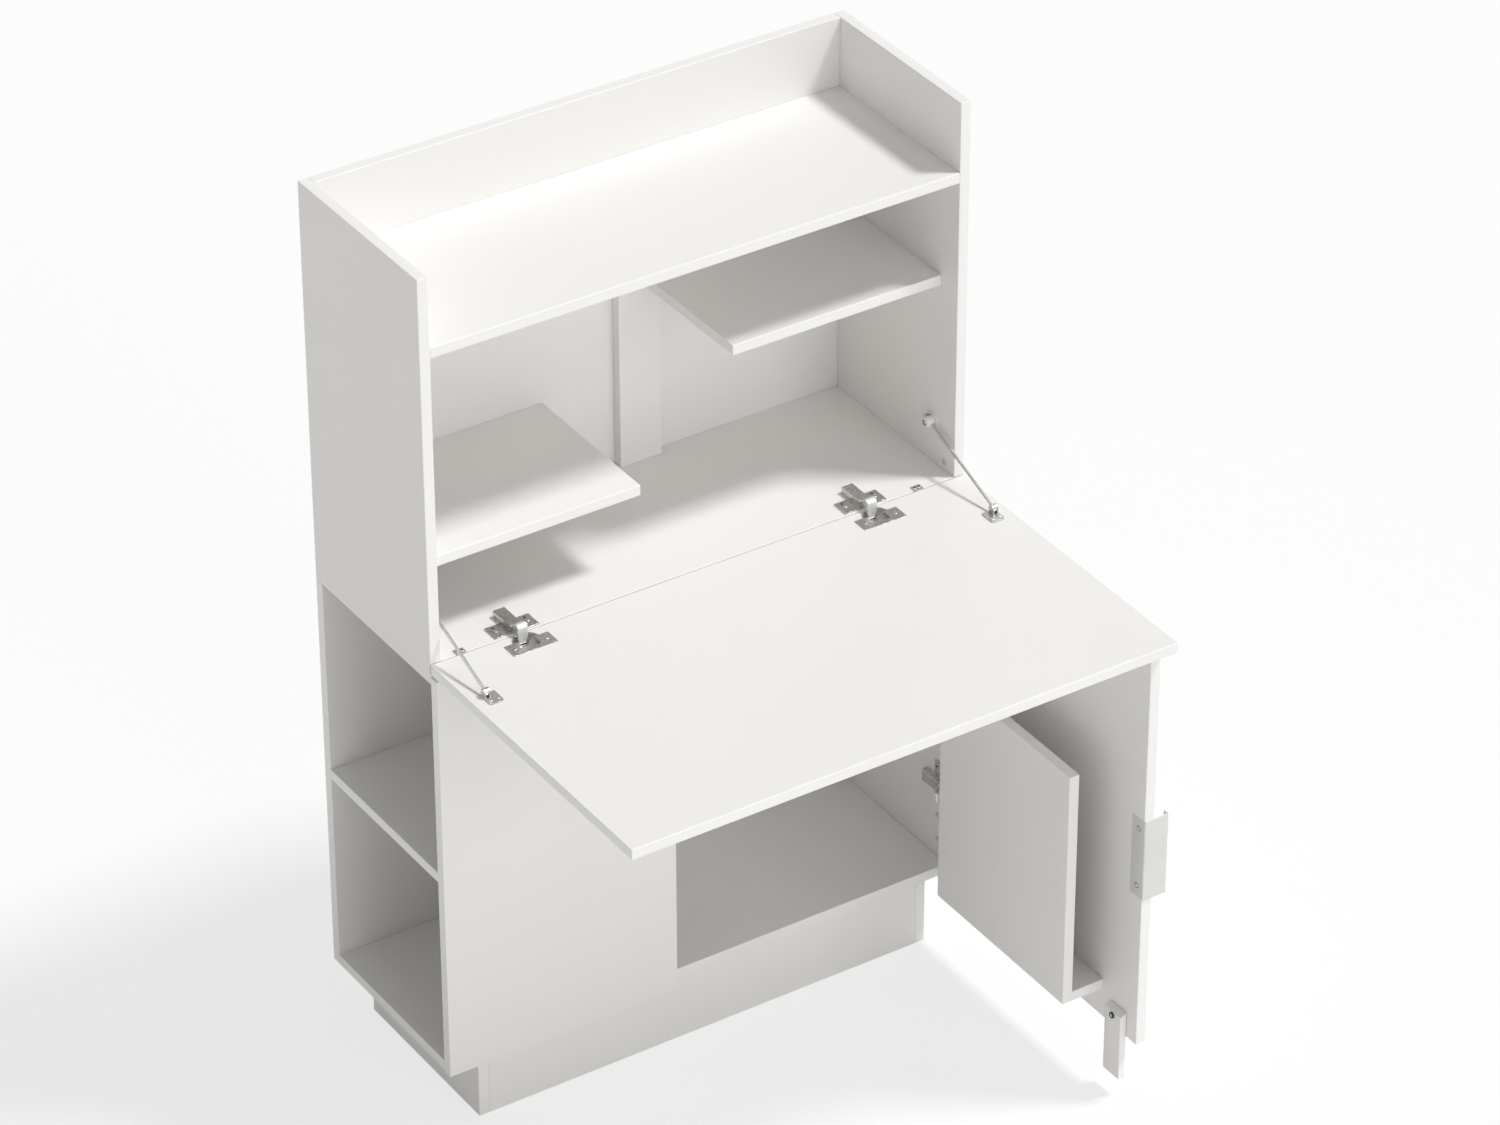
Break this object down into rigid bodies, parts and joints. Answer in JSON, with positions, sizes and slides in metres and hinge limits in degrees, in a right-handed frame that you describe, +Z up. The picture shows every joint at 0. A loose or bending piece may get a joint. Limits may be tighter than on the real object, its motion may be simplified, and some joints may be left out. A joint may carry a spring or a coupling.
{
  "type": "folding desk",
  "caption": "White drop-front desk: a shallow hutch whose front folds down into a desktop, with open side cubbies and, below, a hinged door that carries a paper pocket.",
  "frame": {"origin": "on the floor, under the middle of the plinth's front board", "axes": "+X to the right seen from the front, +Y to the back, +Z up; the desktop folds down towards -Y"},
  "size_m": [0.814, 0.751, 1.278],
  "materials": {
    "white_board": "satin white melamine",
    "nickel": "bright nickel plate",
    "steel": "zinc plated",
    "zinc": "die-cast, dull",
    "dowel_wood": "plain beech",
    "pull_sheet": "satin pale grey",
    "plug": "pale grey"
  },
  "bodies": {
    "case": {"left_side": "white_board", "right_side": "white_board", "bottom_board": "white_board", "cubby_ceiling": "white_board", "desk_board": "white_board", "top_shelf": "white_board", "lower_back": "white_board", "hutch_back": "white_board", "gallery_rail": "white_board", "divider": "white_board", "cubby_shelf": "white_board", "front_panel": "white_board", "back_batten": "white_board", "left_shelf": "white_board", "right_shelf": "white_board", "plinth_left": "white_board", "plinth_right": "white_board", "plinth_front": "white_board", "plinth_back": "white_board", "desktop_hinge_arms": "nickel", "desktop_hinge_plates": "nickel", "door_hinge_arms": "nickel", "door_hinge_plates": "nickel", "cam_bolts": "steel", "desk_screws": "steel", "back_screws": "steel", "desktop_plate_screws": "steel", "door_plate_screws": "steel", "stay_bosses": "steel", "seam_plates": "steel", "seam_screws": "steel", "cam_housings": "zinc", "case_dowels": "dowel_wood", "hole_plugs": "plug"},
    "desktop": {"desktop": "white_board", "desktop_hinge_cups": "nickel", "desktop_hinge_pins": "steel", "desktop_cup_screws": "steel", "stay_brackets": "steel", "stay_pins": "steel", "stay_screws": "steel"},
    "door": {"door": "white_board", "door_hinge_cups": "nickel", "door_hinge_pins": "steel", "door_cup_screws": "steel", "pocket_panel": "white_board", "pocket_ledge": "white_board", "pocket_dowels": "dowel_wood", "foot_bolt": "steel", "door_pull": "pull_sheet", "pull_screws": "steel"},
    "foot": {"foot_block": "white_board"},
    "stay_rod_left": {"stay_rod_left": "steel"},
    "stay_rod_right": {"stay_rod_right": "steel"},
    "stay_swivel_left": {"stay_swivel_left": "steel"},
    "stay_swivel_right": {"stay_swivel_right": "steel"}
  },
  "joints": [
    {"name": "desktop_fold", "type": "hinge", "parent": "case", "child": "desktop", "pos_m": [0, -0.016, 0.7205], "axis": [-1, 0, 0], "range_deg": [0, 90]},
    {"name": "door_swing", "type": "hinge", "parent": "case", "child": "door", "pos_m": [0.3845, -0.016, 0.4], "axis": [0, 0, -1], "range_deg": [0, 90]},
    {"name": "foot_turn", "type": "hinge", "parent": "door", "child": "foot", "pos_m": [0.372, -0.412, 0.124], "axis": [-1, 0, 0], "range_deg": [0, 180]},
    {"name": "rod_pivot_left", "type": "hinge", "parent": "desktop", "child": "stay_rod_left", "pos_m": [-0.3787, -0.10501, 0.736], "axis": [-1, 0, 0], "range_deg": [-45, 0]},
    {"name": "swivel_turn_left", "type": "hinge", "parent": "case", "child": "stay_swivel_left", "pos_m": [-0.3787, 0.0405, 0.791], "axis": [-1, 0, 0], "range_deg": [0, 45]},
    {"name": "rod_pivot_right", "type": "hinge", "parent": "desktop", "child": "stay_rod_right", "pos_m": [0.3787, -0.10501, 0.736], "axis": [-1, 0, 0], "range_deg": [-45, 0]},
    {"name": "swivel_turn_right", "type": "hinge", "parent": "case", "child": "stay_swivel_right", "pos_m": [0.3787, 0.0405, 0.791], "axis": [-1, 0, 0], "range_deg": [0, 45]}
  ],
  "couplings": [
    {"joint": "foot_turn", "follows": "door_swing", "ratio": 2},
    {"joint": "rod_pivot_left", "follows": "desktop_fold", "ratio": -0.5},
    {"joint": "swivel_turn_left", "follows": "desktop_fold", "ratio": 0.5},
    {"joint": "rod_pivot_right", "follows": "desktop_fold", "ratio": -0.5},
    {"joint": "swivel_turn_right", "follows": "desktop_fold", "ratio": 0.5}
  ]
}
